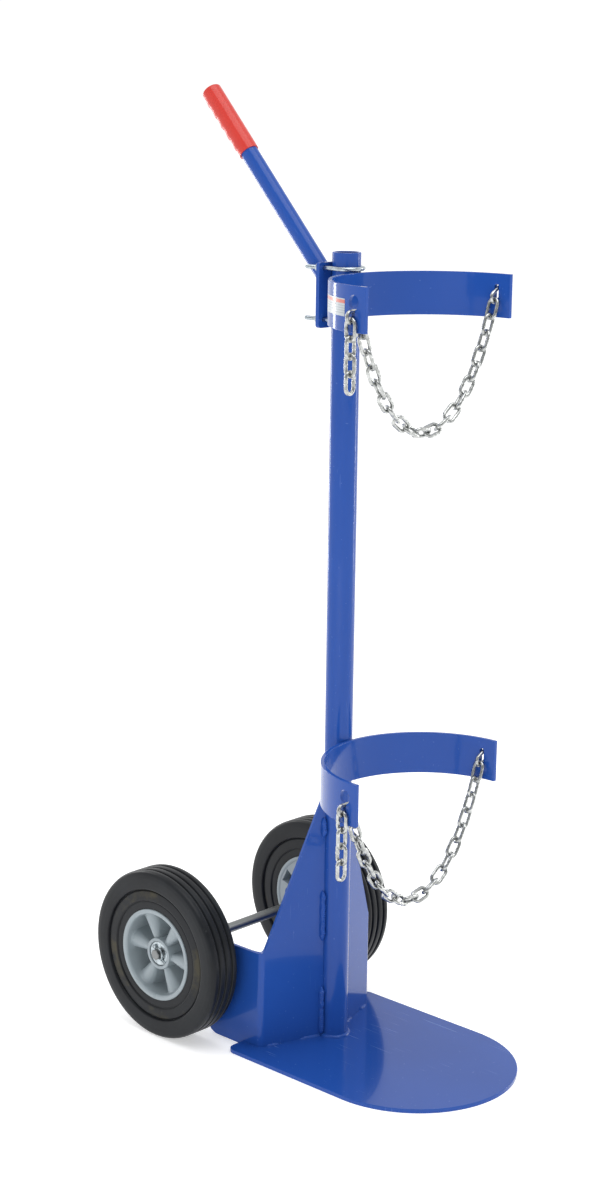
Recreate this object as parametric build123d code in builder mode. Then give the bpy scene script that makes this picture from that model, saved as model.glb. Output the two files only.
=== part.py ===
"""Oxy acetylene torch cart: a one-mast hand truck that carries two gas cylinders.

Millimetres. The mast's axis meets the floor at the origin. +Z is up, -Y is the side
where the cylinders stand, +Y is the side of the axle, the wheels and the handle.
"""
from build123d import *
import math
import os

# Mast: 1 1/4 in pipe standing on the foot plate
mast_r = 21.1
mast_wall = 3.56
mast_top = 1213.0
mast_edge = 0.6

# Foot plate: 1/4 in plate, straight sides and a half-round nose
plate_t = 6.35
plate_half = 158.75
plate_rear_y = 77.0
plate_nose_y = -161.8
plate_corner_r = 14.0
plate_edge_r = 0.8
plate_underside_edge = 0.5

# Folded side plates: a radial panel welded to the mast and a wing that carries the axle
sheet_t = 4.8
panel_angle = 18.56
bend_x = 121.5
bend_r = 8.0
bend_len = bend_x / math.cos(math.radians(panel_angle))
wing_top = 158.0
wing_rear_y = 222.0
wing_rear_z = 105.0
wing_heel_y = 143.0
panel_edge_len = 54.9
panel_edge_z = 327.0
panel_edge_slope = -2.40
panel_fillet_r = 12.0
panel_hidden = 5.0
weld_gap = 0.15
heel_gap = 0.3
heel_r = 22.0
wing_corner_r = 10.0
axle_clearance = 0.1
clear_past = 200.0

# Axle: 5/8 in bar
axle_r = 7.9375
axle_y = 196.9
axle_z = 133.35
axle_half = 197.0

# Wheels: 10 1/2 in, semi-solid
wheel_x = 172.9
tyre_r = 133.35
tyre_half = 27.0
tyre_seat_a = 23.0
tyre_ring_a = 24.4
tyre_ring_r = (86.0, 104.0)
tyre_shoulder_r = 126.5
tyre_step = 0.8
tread_half = 18.0
tread_edge = (5.0, 0.5)
tread_corner = (1.6, 3.0)
tread_groove_pitch = 13.0
tread_groove_w = 3.0
tread_groove_depth = 2.6
tread_groove_taper = 0.4
hub_lip_r = 72.4
hub_mouth_r = 67.4
hub_wall_r = 63.6
hub_lip_half = 24.6
hub_edge = 1.2
hub_mouth_depth = 3.0
web_front_a = -20.8
web_back_a = -24.0
boss_draft = 0.8
spoke_count = 6
spoke_apex_a = 11.66
spoke_fall = 0.1966
spoke_spread = 0.2475
spoke_wall = 3.2
spoke_inner_r = 21.0
spoke_outer_r = 65.0
cavity_inner_r = 31.0
cavity_outer_r = 60.5
left_spoke_angle = 24.95
right_spoke_angle = 2.0
boss_r = 24.8
boss_outer_a = 16.9
pocket_r = 19.6
pocket_a = 12.5
boss_inner_a = -46.1
boss_neck_r = 19.0
boss_neck_flare = 2.0
bush_r = 12.7
bush_len = 20.0
bush_relief = 1.5
running_gap = 0.05

# Washers and split pins on the axle
axle_washer_r = 18.25
axle_washer_t = 2.4
axle_washer_clearance = 0.2
axle_edge = 1.0
inner_washer_x = 124.0
outer_washer_x = 185.5
pin_x = 190.6
pin_turn = 38.0
pin_hole_r = 1.8
pin_wire_r = 0.78
pin_eye_r = 2.4
pin_eye_gap = 1.5
pin_eye_lead = 0.9
pin_bend_r = 1.2
pin_leg_gap = 0.02
pin_leg_past = 2.0
pin_leg_lean = 2.5
pin_curl_r = 10.6
pin_leg_end_r = 17.5

# Saddles: 2 1/2 x 1/4 in flat bar rolled to a 12 in inside diameter
saddle_t = 6.35
saddle_r = 152.4
saddle_h = 63.5
saddle_edge_r = 0.9
cut_reach = 20.0
saddle_y = -mast_r - saddle_t - saddle_r
upper_saddle_z = 1153.3
lower_saddle_z = 453.6

# Keyhole in the left leg and slot in the right leg of each saddle, above the band's middle
chain_y = saddle_y + 23.2
keyhole_r = 10.5
keyhole_up = 9.0
slot_w = 7.0
left_slot_bottom = -21.0
right_slot_low = -13.0
right_slot_high = 16.6

# Chain: 3/16 in proof coil
wire_r = 2.75
chain_pitch = 24.1
link_inside_w = 10.0
link_slack = 0.3
held_link_x = 154.6
right_held_x = 153.6
left_link_up = -10.3
right_link_up = 1.2
right_link_tilt = 30.0
left_pull = 70.0
swag_turn = 90.0
swag_links = 20
tail_links = 4

# Handle: bolted plate, welded 3/4 in pipe and a moulded grip
handle_plate_half = 35.0
handle_plate_t = 6.35
handle_plate_low = 1103.6
handle_plate_high = 1198.0
handle_plate_corner_r = 5.0
tube_r = 13.335
tube_wall = 2.87
tube_from = (199.4, 1347.2)
tube_dir = (0.6781, 0.7350)
tube_run = 252.6
grip_len = 121.0
grip_r = 15.1
grip_ridge_r = 16.0
grip_groove_r = 14.2
grip_ridge_pitch = 20.7
grip_ridge_half = 7.5
grip_last_ridge = 101.0
grip_offset = 2.0
grip_end_t = 6.0
grip_corner_r = 3.5
tube_spare = 30.0

# U-bolts: 1/4 in rod round the mast
u_rod_r = 3.175
u_leg_x = mast_r + 0.1 + u_rod_r
u_end_y = 57.0
u_upper_z = 1190.0
u_lower_z = 1116.0
u_hole_r = 3.5
u_end_edge = 0.6
nut_flats = 11.1
nut_t = 5.6
lock_washer_r = 6.2
lock_washer_t = 1.6

# Sticker on the outside of the upper saddle
label_t = 0.25
label_z = (1142.0, 1166.0)
label_arc = (137.0, 164.3)

os.makedirs("parts", exist_ok=True)


def keep(part, name):
    """Label one finished piece and write it to its own file."""
    part.label = name
    export_step(part, f"parts/{name}.step")


# ---------------------------------------------------------------- frame

def mast_tube():
    with BuildPart() as mast:
        with BuildSketch(Plane.XY.offset(plate_t)):
            Circle(mast_r)
            Circle(mast_r - mast_wall, mode=Mode.SUBTRACT)
        extrude(amount=mast_top - plate_t)
        chamfer(mast.edges().group_by(Axis.Z)[-1], mast_edge)
    keep(mast.part, "mast_tube")


def foot_plate():
    with BuildPart() as foot:
        with BuildSketch():
            with BuildLine():
                Polyline(
                    (-plate_half, plate_nose_y),
                    (-plate_half, plate_rear_y),
                    (plate_half, plate_rear_y),
                    (plate_half, plate_nose_y),
                )
                ThreePointArc(
                    (plate_half, plate_nose_y),
                    (0, plate_nose_y - plate_half),
                    (-plate_half, plate_nose_y),
                )
            make_face()
        extrude(amount=plate_t)
        fillet(foot.edges().filter_by(Axis.Z).group_by(Axis.Y)[-1], plate_corner_r)
        fillet(foot.faces().sort_by(Axis.Z)[-1].edges(), plate_edge_r)
        chamfer(foot.faces().sort_by(Axis.Z)[0].edges(), plate_underside_edge)
    keep(foot.part, "foot_plate")


def side_plate(name, side):
    """One sheet: slanted panel from the mast to the bend, then the axle wing."""
    angle = math.radians(panel_angle)
    outward = Vector(side * math.cos(angle), math.sin(angle))
    start = outward * (mast_r + weld_gap)
    bend = outward * bend_len
    square_to_panel = outward.cross(Vector(0, 0, 1))
    panel_plane = Plane(origin=(0, 0, 0), x_dir=outward, z_dir=square_to_panel)
    level_len = panel_edge_len + (wing_top - panel_edge_z) / panel_edge_slope
    peak_len = mast_r - panel_hidden
    peak_z = panel_edge_z + (peak_len - panel_edge_len) * panel_edge_slope
    heel_from_y = plate_rear_y + heel_gap
    with BuildPart() as plate:
        with BuildSketch():
            with BuildLine():
                FilletPolyline(start, bend, (side * bend_x, wing_rear_y), radius=bend_r)
            trace(line_width=sheet_t)
        extrude(amount=peak_z)
        # everything above the slanted and level top edge
        with BuildSketch(panel_plane) as above:
            with BuildLine():
                Polyline(
                    (peak_len, peak_z),
                    (level_len, wing_top),
                    (clear_past + bend_len, wing_top),
                    (clear_past + bend_len, peak_z + clear_past),
                    (peak_len, peak_z + clear_past),
                    close=True,
                )
            make_face()
            corner = above.vertices().sort_by_distance((level_len, wing_top, 0))[0]
            fillet(corner, panel_fillet_r)
        extrude(amount=clear_past, both=True, mode=Mode.SUBTRACT)
        # heel behind the foot plate and the slope up to the axle
        with BuildSketch(Plane.YZ) as below:
            with BuildLine():
                Polyline(
                    (0, -clear_past),
                    (0, plate_t),
                    (heel_from_y, plate_t),
                    (heel_from_y, 0),
                    (wing_heel_y, 0),
                    (wing_rear_y, wing_rear_z),
                    (wing_rear_y + clear_past, wing_rear_z),
                    (wing_rear_y + clear_past, -clear_past),
                    close=True,
                )
            make_face()
            heel = below.vertices().sort_by_distance((wing_heel_y, 0, 0))[0]
            fillet(heel, heel_r)
        extrude(amount=clear_past, both=True, mode=Mode.SUBTRACT)
        rear = plate.edges().filter_by(Axis.X).group_by(Axis.Y)[-1]
        fillet(rear, wing_corner_r)
        with BuildSketch(Plane.YZ):
            with Locations((axle_y, axle_z)):
                Circle(axle_r + axle_clearance)
        extrude(amount=clear_past, both=True, mode=Mode.SUBTRACT)
    keep(plate.part, name)


def saddle(name, z):
    """Half ring of flat bar with a keyhole on the left leg and a slot on the right one."""
    with BuildPart() as ring:
        with BuildSketch(Plane.XY.offset(z - saddle_h / 2)):
            with Locations((0, saddle_y)):
                Circle(saddle_r + saddle_t)
                Circle(saddle_r, mode=Mode.SUBTRACT)
            with Locations((0, saddle_y - saddle_r)):
                Rectangle(4 * saddle_r, 2 * saddle_r, mode=Mode.SUBTRACT)
        extrude(amount=saddle_h)
        fillet(ring.edges(), saddle_edge_r)
        slot_low = z + left_slot_bottom
        hole_z = z + keyhole_up
        with BuildSketch(Plane.YZ.offset(-saddle_r - cut_reach)):
            with Locations((chain_y, hole_z)):
                Circle(keyhole_r)
            with Locations((chain_y, (slot_low + slot_w / 2 + hole_z) / 2)):
                Rectangle(slot_w, hole_z - slot_low - slot_w / 2)
            with Locations((chain_y, slot_low + slot_w / 2)):
                Circle(slot_w / 2)
        extrude(amount=2 * cut_reach, mode=Mode.SUBTRACT)
        slot_len = right_slot_high - right_slot_low
        with BuildSketch(Plane.YZ.offset(saddle_r - cut_reach)):
            with Locations((chain_y, z + (right_slot_low + right_slot_high) / 2)):
                SlotOverall(slot_len, slot_w, rotation=90)
        extrude(amount=2 * cut_reach, mode=Mode.SUBTRACT)
    keep(ring.part, name)


# ---------------------------------------------------------------- chains

def chain_link():
    """A welded link lying in XY, long along X, centred on the origin."""
    limb = link_inside_w / 2 + wire_r
    half_straight = (chain_pitch + link_slack - link_inside_w) / 2
    with BuildPart() as link:
        for end in (-1, 1):
            with BuildSketch(Plane.YZ):
                with Locations((end * limb, 0)):
                    Circle(wire_r)
            extrude(amount=half_straight, both=True)
            with BuildSketch(Plane.YZ.offset(end * half_straight)):
                with Locations((-end * limb, 0)):
                    Circle(wire_r)
            revolve(axis=Axis((end * half_straight, 0, 0), (0, 0, 1)), revolution_arc=180)
    return link.part


def catenary(start, end, length):
    """Point of a hanging chain at a run s from its start, as a function."""
    span = end[0] - start[0]
    rise = end[1] - start[1]
    stretch = math.sqrt(length ** 2 - rise ** 2) / span
    low, high = 0.001, 10.0
    for _ in range(80):
        middle = (low + high) / 2
        if math.sinh(middle) / middle < stretch:
            low = middle
        else:
            high = middle
    a = span / (2 * low)
    bottom_x = (start[0] + end[0]) / 2 - a * math.asinh(rise / (2 * a * math.sinh(low)))
    start_sinh = math.sinh((start[0] - bottom_x) / a)
    bottom_z = start[1] - a * math.cosh((start[0] - bottom_x) / a)

    def point(s):
        u = math.asinh(start_sinh + s / a)
        return bottom_x + a * u, bottom_z + a * math.cosh(u)
    return point


def held_links(z):
    """Centres of the wire that the swag and the tail hang on."""
    bend = (chain_pitch + link_slack - link_inside_w) / 2
    limb = link_inside_w / 2 + wire_r
    pull = math.radians(left_pull)
    tilt = math.radians(right_link_tilt)
    left = (
        -held_link_x + bend + limb * math.cos(pull),
        z + left_link_up - limb * math.sin(pull),
    )
    right = (
        right_held_x - bend * math.cos(tilt) - limb * math.cos(pull),
        z + right_link_up - bend * math.sin(tilt) - limb * math.sin(pull),
    )
    tail = (-held_link_x - bend, z + left_link_up - limb)
    return left, right, tail


def chain_nodes(prefix, z):
    """The two held links, the swag between them and the tail outside the left leg."""
    link = chain_link()
    left, right, tail = held_links(z)
    tilt = math.radians(right_link_tilt)
    tilted = (math.cos(tilt), 0, math.sin(tilt))
    held = (
        ("keyhole_link", (-held_link_x, chain_y, z + left_link_up), (1, 0, 0)),
        ("anchor_link", (right_held_x, chain_y, z + right_link_up), tilted),
    )
    for end_name, centre, along in held:
        with BuildPart() as held_link:
            with Locations(Plane(origin=centre, x_dir=along, z_dir=(0, -1, 0))):
                add(link)
        keep(held_link.part, f"{prefix}_chain_{end_name}")

    run = swag_links * chain_pitch - 2 * wire_r
    hang = catenary(left, right, run)
    stations = [0] + [n * chain_pitch - wire_r for n in range(1, swag_links)] + [run]
    points = [hang(s) for s in stations]
    twist_step = swag_turn / (swag_links - 1)
    with BuildPart() as swag:
        for n in range(swag_links):
            start = Vector(points[n][0], chain_y, points[n][1])
            end = Vector(points[n + 1][0], chain_y, points[n + 1][1])
            along = (end - start).normalized()
            middle = (start + end) / 2
            if n == 0:
                middle = end - along * chain_pitch / 2
            if n == swag_links - 1:
                middle = start + along * chain_pitch / 2
            in_swag = along.cross(Vector(0, 1, 0))
            turn = 90 * (n % 2) + n * twist_step
            normal = in_swag.rotate(Axis((0, 0, 0), along), turn)
            with Locations(Plane(origin=middle, x_dir=along, z_dir=normal)):
                add(link)
    keep(swag.part, f"{prefix}_chain")

    with BuildPart() as hanging:
        for n in range(tail_links):
            top_z = tail[1] + wire_r - n * chain_pitch
            normal = (1, 0, 0) if n % 2 == 0 else (0, 1, 0)
            centre = (tail[0], chain_y, top_z - chain_pitch / 2)
            with Locations(Plane(origin=centre, x_dir=(0, 0, 1), z_dir=normal)):
                add(link)
    keep(hanging.part, f"{prefix}_chain_tail")


# ---------------------------------------------------------------- handle

def bolt_seats():
    """Places of the four U-bolt legs, as (x, z)."""
    return [(x, z) for x in (-u_leg_x, u_leg_x) for z in (u_lower_z, u_upper_z)]


def handle_plate():
    with BuildPart() as plate:
        with BuildSketch(Plane.XZ.offset(-mast_r)) as outline:
            with Locations((0, (handle_plate_low + handle_plate_high) / 2)):
                Rectangle(2 * handle_plate_half, handle_plate_high - handle_plate_low)
            fillet(outline.vertices(), handle_plate_corner_r)
            with Locations(*bolt_seats()):
                Circle(u_hole_r, mode=Mode.SUBTRACT)
        extrude(amount=-handle_plate_t)
    keep(plate.part, "handle_plate")


def u_bolt(name, z):
    with BuildPart() as bolt:
        with BuildSketch(Plane.XZ):
            with Locations((u_leg_x, z)):
                Circle(u_rod_r)
        revolve(axis=Axis((0, 0, z), (0, 0, 1)), revolution_arc=-180)
        with BuildSketch(Plane.XZ):
            with Locations((-u_leg_x, z), (u_leg_x, z)):
                Circle(u_rod_r)
        extrude(amount=-u_end_y)
        chamfer(bolt.edges().group_by(Axis.Y)[-1], u_end_edge)
    keep(bolt.part, name)


def u_bolt_fasteners():
    seats = bolt_seats()
    washer_y = mast_r + handle_plate_t
    with BuildPart() as washers:
        with BuildSketch(Plane.XZ.offset(-washer_y)):
            with Locations(*seats):
                Circle(lock_washer_r)
                Circle(u_rod_r + running_gap, mode=Mode.SUBTRACT)
        extrude(amount=-lock_washer_t)
    keep(washers.part, "u_bolt_lock_washers")
    with BuildPart() as nuts:
        with BuildSketch(Plane.XZ.offset(-washer_y - lock_washer_t)):
            with Locations(*seats):
                RegularPolygon(nut_flats / 2, 6, major_radius=False)
                Circle(u_rod_r + running_gap, mode=Mode.SUBTRACT)
        extrude(amount=-nut_t)
    keep(nuts.part, "u_bolt_nuts")


def tube_plane(run=0.0):
    """Plane square to the handle tube, a run along it from the grip's mouth."""
    along = (0, tube_dir[0], tube_dir[1])
    origin = (0, tube_from[0] + run * tube_dir[0], tube_from[1] + run * tube_dir[1])
    return Plane(origin=origin, x_dir=(1, 0, 0), z_dir=along)


def handle_tube():
    back_of_plate = mast_r + handle_plate_t
    with BuildPart() as tube:
        with BuildSketch(tube_plane(-tube_run - tube_spare)):
            Circle(tube_r)
            Circle(tube_r - tube_wall, mode=Mode.SUBTRACT)
        extrude(amount=tube_run + tube_spare + grip_len - grip_end_t)
        split(bisect_by=Plane.XZ.offset(-back_of_plate), keep=Keep.BOTTOM)
    keep(tube.part, "handle_tube")


def handle_grip():
    """Closed sleeve with finger ridges along its underside."""
    with BuildPart() as grip:
        with BuildSketch(tube_plane()):
            Circle(grip_r)
        extrude(amount=grip_len)
        lengthways = Axis(tube_plane().origin, tube_plane().z_dir)
        fillet(grip.edges().group_by(lengthways)[-1], grip_corner_r)
        # local x runs along the tube, local y away from it towards the underside
        under = Vector(0, tube_dir[1], -tube_dir[0])
        origin = Vector(tube_plane().origin) + under * grip_offset
        profile = Plane(origin=origin, x_dir=tube_plane().z_dir, z_dir=(1, 0, 0))
        ridges = [grip_last_ridge - n * grip_ridge_pitch for n in range(5)][::-1]
        half = grip_ridge_half
        low = ridges[0] - half
        high = ridges[-1] + half
        with BuildSketch(profile):
            with BuildLine():
                for n, ridge in enumerate(ridges):
                    ThreePointArc(
                        (ridge - half, grip_groove_r),
                        (ridge, grip_ridge_r),
                        (ridge + half, grip_groove_r),
                    )
                    if n + 1 < len(ridges):
                        Line((ridge + half, grip_groove_r), (ridges[n + 1] - half, grip_groove_r))
                Polyline((high, grip_groove_r), (high, 0), (low, 0), (low, grip_groove_r))
            make_face()
        revolve(axis=Axis(origin, tube_plane().z_dir))
        with BuildSketch(tube_plane()):
            Circle(tube_r + running_gap)
        extrude(amount=grip_len - grip_end_t + running_gap, mode=Mode.SUBTRACT)
    keep(grip.part, "handle_grip")


# ---------------------------------------------------------------- axle and wheels

def pin_way():
    """Direction of the split pins across the axle, towards their eyes."""
    turn = math.radians(pin_turn)
    return Vector(0, math.sin(turn), math.cos(turn))


def axle():
    with BuildPart() as bar:
        with BuildSketch(Plane.YZ.offset(-axle_half)):
            with Locations((axle_y, axle_z)):
                Circle(axle_r)
        extrude(amount=2 * axle_half)
        ends = bar.edges().group_by(Axis.X)
        chamfer(ends[0] + ends[-1], axle_edge)
        for side in (-1, 1):
            hole_middle = (side * pin_x, axle_y, axle_z)
            with BuildSketch(Plane(origin=hole_middle, x_dir=(1, 0, 0), z_dir=pin_way())):
                Circle(pin_hole_r)
            extrude(amount=2 * axle_r, both=True, mode=Mode.SUBTRACT)
    keep(bar.part, "axle")


def axle_washers():
    with BuildPart() as washers:
        for x in (inner_washer_x, outer_washer_x):
            for side in (-1, 1):
                seat = (side * x, axle_y, axle_z)
                with BuildSketch(Plane(origin=seat, x_dir=(0, 1, 0), z_dir=(side, 0, 0))):
                    Circle(axle_washer_r)
                    Circle(axle_r + axle_washer_clearance, mode=Mode.SUBTRACT)
                extrude(amount=axle_washer_t)
    keep(washers.part, "axle_washers")


def split_pins():
    """Eye beside the axle and two legs: one ends on the washer, one curls round the axle."""
    way = pin_way()
    across = way.cross(Vector(1, 0, 0))

    def place(x, out, off):
        return Vector(x, axle_y, axle_z) + way * out + across * off

    eye_out = axle_r + pin_eye_gap
    curl = [math.radians(degrees) for degrees in (180, 225, 270, 315)]
    with BuildPart() as pins:
        for side in (-1, 1):
            for leg in (-1, 1):
                x = side * (pin_x + leg * pin_wire_r)
                route = [
                    place(x, eye_out + 2 * pin_eye_r, leg * pin_eye_lead),
                    place(x, eye_out + pin_eye_r, leg * pin_eye_r),
                    place(x, eye_out, 0),
                ]
                if leg > 0:
                    for a in curl:
                        route.append(place(x, pin_curl_r * math.cos(a), pin_curl_r * math.sin(a)))
                else:
                    route.append(place(x, -axle_r - pin_leg_past, 0))
                    route.append(place(x, -pin_leg_end_r, -pin_leg_lean))
                with BuildLine() as path:
                    FilletPolyline(*route, radius=pin_bend_r)
                with BuildSketch(Plane(origin=path.line @ 0, z_dir=path.line % 0)):
                    Circle(pin_wire_r - pin_leg_gap)
                sweep(path=path.line)
    keep(pins.part, "split_pins")


def wheel_plane(side):
    """Plane through the wheel's axis and centre: local x outward, local y up."""
    return Plane(origin=(side * wheel_x, axle_y, axle_z), x_dir=(side, 0, 0), z_dir=(0, -side, 0))


def wheel_axis():
    return Axis((0, axle_y, axle_z), (1, 0, 0))


def tyre(name, side):
    ring_inner_r, ring_outer_r = tyre_ring_r
    face = [
        (tyre_seat_a, hub_lip_r),
        (tyre_seat_a, ring_inner_r - tyre_step),
        (tyre_ring_a, ring_inner_r + tyre_step),
        (tyre_ring_a, ring_outer_r - tyre_step),
        (tyre_half, ring_outer_r + tyre_step),
        (tyre_half, tyre_shoulder_r),
        (tyre_half - tread_corner[0], tyre_r - tread_corner[1]),
        (tyre_half - tread_edge[0], tyre_r - tread_edge[1]),
    ]
    groove_top = tread_groove_w / 2
    groove_foot = groove_top - tread_groove_taper
    groove_r = tyre_r - tread_groove_depth
    tread = [(tread_half, tyre_r)]
    for groove in (1, 0, -1):
        centre = groove * tread_groove_pitch
        tread.append((centre + groove_top, tyre_r))
        tread.append((centre + groove_foot, groove_r))
        tread.append((centre - groove_foot, groove_r))
        tread.append((centre - groove_top, tyre_r))
    tread.append((-tread_half, tyre_r))
    back = [(-a, r) for a, r in reversed(face)]
    with BuildPart() as rubber:
        with BuildSketch(wheel_plane(side)):
            with BuildLine():
                Polyline(*face, *tread, *back, close=True)
            make_face()
        revolve(axis=wheel_axis())
    keep(rubber.part, name)


def spoke_section(side, radial, run, wall):
    """Upright section with a round top, square to the spoke at a run from the axis."""
    half = spoke_spread * run - wall
    top = spoke_apex_a - spoke_fall * run
    foot = Vector(side * wheel_x, axle_y, axle_z)
    bottom = web_back_a - 2 * wall
    with BuildSketch(Plane(origin=foot + radial * run, x_dir=(side, 0, 0), z_dir=radial)) as section:
        with Locations((top, 0)):
            Circle(half)
        with Locations(((top + bottom) / 2, 0)):
            Rectangle(top - bottom, 2 * half)
    return section.sketch


def hub(name, side, first_angle):
    """Moulded drum, web, boss and tapered round-topped spokes that are hollow from behind."""
    relief_r = axle_r + bush_relief
    drum = [
        (hub_lip_half - hub_edge, hub_lip_r),
        (hub_lip_half, hub_lip_r - hub_edge),
        (hub_lip_half, hub_mouth_r),
        (hub_lip_half - hub_mouth_depth, hub_wall_r + hub_edge),
        (web_front_a, hub_wall_r),
        (web_front_a, boss_r + boss_draft),
        (boss_outer_a, boss_r),
        (boss_outer_a, pocket_r),
        (pocket_a, pocket_r),
        (pocket_a, bush_r),
        (pocket_a - bush_len, bush_r),
        (pocket_a - bush_len, relief_r),
        (boss_inner_a + bush_len, relief_r),
        (boss_inner_a + bush_len, bush_r),
        (boss_inner_a, bush_r),
        (boss_inner_a, boss_neck_r),
        (web_back_a, boss_neck_r + boss_neck_flare),
        (web_back_a, hub_mouth_r),
        (-hub_lip_half, hub_mouth_r),
        (-hub_lip_half, hub_lip_r - hub_edge),
        (-hub_lip_half + hub_edge, hub_lip_r),
    ]
    spokes = []
    for n in range(spoke_count):
        turn = math.radians(first_angle + n * 360 / spoke_count)
        radial = Vector(0, math.sin(turn), math.cos(turn))
        outer = [
            spoke_section(side, radial, spoke_inner_r, 0),
            spoke_section(side, radial, spoke_outer_r, 0),
        ]
        cavity = [
            spoke_section(side, radial, cavity_inner_r, spoke_wall),
            spoke_section(side, radial, cavity_outer_r, spoke_wall),
        ]
        spokes.append((outer, cavity))
    with BuildPart() as wheel_hub:
        with BuildSketch(wheel_plane(side)):
            with BuildLine():
                Polyline(*drum, close=True)
            make_face()
        revolve(axis=wheel_axis())
        for outer, cavity in spokes:
            loft(sections=outer)
            loft(sections=cavity, mode=Mode.SUBTRACT)
    keep(wheel_hub.part, name)


def bush(name, side, outer_end):
    inner_end = Vector(side * (wheel_x + outer_end - bush_len), axle_y, axle_z)
    with BuildPart() as sleeve:
        with BuildSketch(Plane(origin=inner_end, x_dir=(0, 1, 0), z_dir=(side, 0, 0))):
            Circle(bush_r)
            Circle(axle_r + running_gap, mode=Mode.SUBTRACT)
        extrude(amount=bush_len)
    keep(sleeve.part, name)


# ---------------------------------------------------------------- sticker

def label():
    outer = saddle_r + saddle_t
    middle = Vector(0, saddle_y)
    first, last = label_arc
    with BuildPart() as sticker:
        with BuildSketch(Plane.XY.offset(label_z[0])):
            with BuildLine():
                CenterArc(middle, outer, first, last - first)
                CenterArc(middle, outer + label_t, first, last - first)
                for degrees in label_arc:
                    turn = math.radians(degrees)
                    edge = Vector(math.cos(turn), math.sin(turn))
                    Line(middle + edge * outer, middle + edge * (outer + label_t))
            make_face()
        extrude(amount=label_z[1] - label_z[0])
    keep(sticker.part, "label")


mast_tube()
foot_plate()
side_plate("side_plate_left", -1)
side_plate("side_plate_right", 1)
saddle("upper_saddle", upper_saddle_z)
saddle("lower_saddle", lower_saddle_z)
chain_nodes("upper", upper_saddle_z)
chain_nodes("lower", lower_saddle_z)
handle_plate()
u_bolt("upper_u_bolt", u_upper_z)
u_bolt("lower_u_bolt", u_lower_z)
u_bolt_fasteners()
handle_tube()
handle_grip()
axle()
axle_washers()
split_pins()
for wheel_name, wheel_side, spoke_angle in (
    ("left", -1, left_spoke_angle),
    ("right", 1, right_spoke_angle),
):
    tyre(f"{wheel_name}_tyre", wheel_side)
    hub(f"{wheel_name}_hub", wheel_side, spoke_angle)
    bush(f"{wheel_name}_outer_bush", wheel_side, pocket_a)
    bush(f"{wheel_name}_inner_bush", wheel_side, boss_inner_a + bush_len)
label()
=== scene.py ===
"""Looks for the oxy acetylene torch cart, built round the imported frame.

Metres, in the row frame: +Z up, -Y towards the cylinders, +Y towards the axle.
"""

import math

import bmesh
import bpy
import numpy as np
from mathutils import Matrix, Vector, noise


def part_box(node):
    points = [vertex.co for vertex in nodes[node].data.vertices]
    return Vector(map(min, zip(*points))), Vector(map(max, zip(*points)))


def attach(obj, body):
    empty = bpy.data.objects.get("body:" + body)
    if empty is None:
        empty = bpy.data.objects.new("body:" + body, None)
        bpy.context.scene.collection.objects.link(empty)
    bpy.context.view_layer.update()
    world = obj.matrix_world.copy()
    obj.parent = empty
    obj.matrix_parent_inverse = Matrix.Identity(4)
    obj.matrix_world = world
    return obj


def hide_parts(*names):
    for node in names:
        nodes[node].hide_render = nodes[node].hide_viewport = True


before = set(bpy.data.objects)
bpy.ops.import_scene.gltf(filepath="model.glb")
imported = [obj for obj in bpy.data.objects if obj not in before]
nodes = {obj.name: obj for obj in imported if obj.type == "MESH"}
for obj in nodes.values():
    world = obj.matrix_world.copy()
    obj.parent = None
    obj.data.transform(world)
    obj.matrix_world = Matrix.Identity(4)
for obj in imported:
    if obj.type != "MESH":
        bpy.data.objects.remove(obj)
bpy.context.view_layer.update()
MM = 0.001


# ------------------------------------------------------------------ places

def centre(node):
    low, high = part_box(node)
    return (Vector(low) + Vector(high)) / 2


def span(node):
    low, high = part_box(node)
    return Vector(high) - Vector(low)


mast_r = span("mast_tube").x / 2
plate_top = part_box("foot_plate")[1][2]
axle_mid = centre("axle")


# ------------------------------------------------------------------ mesh helpers

def add_piece(name, verts, faces, material, body, stands_for=(), sharp=None):
    """Mesh object in the row frame that rides on a body."""
    mesh = bpy.data.meshes.new(name)
    mesh.from_pydata([tuple(v) for v in verts], [], faces)
    mesh.validate()
    mesh.shade_smooth()
    if sharp is not None:
        mesh.set_sharp_from_angle(angle=math.radians(sharp))
    mesh.materials.append(material)
    piece = bpy.data.objects.new(name, mesh)
    bpy.context.scene.collection.objects.link(piece)
    if stands_for:
        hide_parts(*stands_for)
    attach(piece, body)
    return piece


def ring_faces(rings, count, closed_along, start=0):
    """Quads between consecutive rings of count vertices each."""
    faces = []
    last = rings if closed_along else rings - 1
    for i in range(last):
        a = start + i * count
        b = start + ((i + 1) % rings) * count
        for j in range(count):
            k = (j + 1) % count
            faces.append((a + j, a + k, b + k, b + j))
    return faces


def sweep(points, radius, segments=16, closed=False, up=None):
    """Tube round a run of points. radius(s, angle) is in metres, s the run in metres."""
    count = len(points)
    tangents = []
    for i, point in enumerate(points):
        if closed:
            step = points[(i + 1) % count] - points[i - 1]
        else:
            step = points[min(i + 1, count - 1)] - points[max(i - 1, 0)]
        tangents.append(step.normalized())
    side = up or Vector((0.3, 0.2, 1)).cross(tangents[0])
    verts = []
    run = 0.0
    for i, point in enumerate(points):
        if i:
            run += (point - points[i - 1]).length
        side = (side - tangents[i] * side.dot(tangents[i])).normalized()
        other = tangents[i].cross(side)
        for j in range(segments):
            angle = 2 * math.pi * j / segments
            r = radius(run, angle)
            verts.append(point + side * (r * math.cos(angle)) + other * (r * math.sin(angle)))
    faces = ring_faces(count, segments, closed)
    if not closed:
        first = tuple(range(segments))
        faces.append(first[::-1])
        faces.append(tuple((count - 1) * segments + j for j in first))
    return verts, faces


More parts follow.
